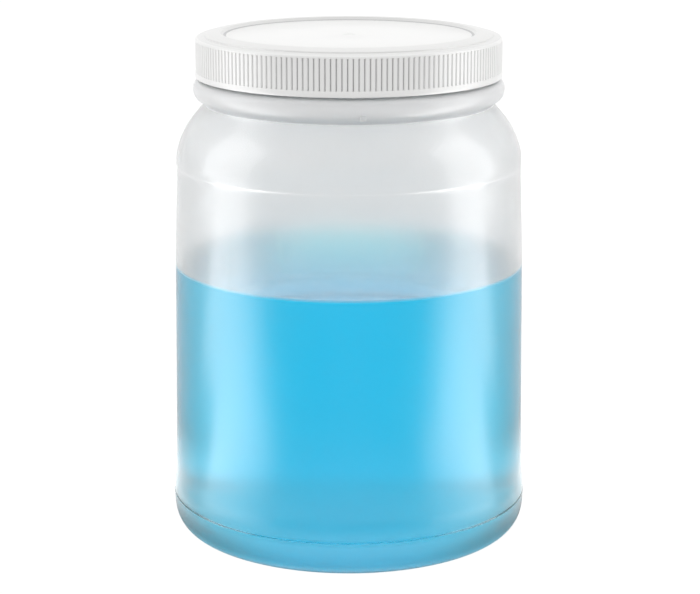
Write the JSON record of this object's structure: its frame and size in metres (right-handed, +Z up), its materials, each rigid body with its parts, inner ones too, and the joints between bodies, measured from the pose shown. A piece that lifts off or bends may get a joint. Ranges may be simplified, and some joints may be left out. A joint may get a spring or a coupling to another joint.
{
  "type": "reagent bottle",
  "caption": "Wide-mouth translucent plastic jar with a ribbed screw cap and foam liner, part-filled with blue liquid.",
  "frame": {"origin": "centre of the foot ring, on the surface the jar stands on", "axes": "+Z up along the jar's axis; the jar is round, so X and Y are free, and the neck's thread starts at +X"},
  "size_m": [0.1328, 0.1328, 0.186],
  "materials": {
    "jar_plastic": "natural translucent, satin",
    "blue_liquid": "clear coloured liquid",
    "liner_foam": "matt closed-cell foam",
    "cap_plastic": "opaque white, semi-gloss"
  },
  "bodies": {
    "bottle": {"jar": "jar_plastic", "liquid": "blue_liquid"},
    "liner": {"foam_liner": "liner_foam"},
    "cap": {"screw_cap": "cap_plastic"}
  },
  "joints": [
    {"name": "cap_lift", "type": "slide", "parent": "bottle", "child": "liner", "axis": [0, 0, 1], "range_m": [0, 0.0254]},
    {"name": "cap_turn", "type": "hinge", "parent": "liner", "child": "cap", "pos_m": [0, 0, 0.176], "axis": [0, 0, 1], "range_deg": [0, 1800]}
  ],
  "couplings": [
    {"joint": "cap_lift", "follows": "cap_turn", "m_per_rad": 0.00080851}
  ]
}
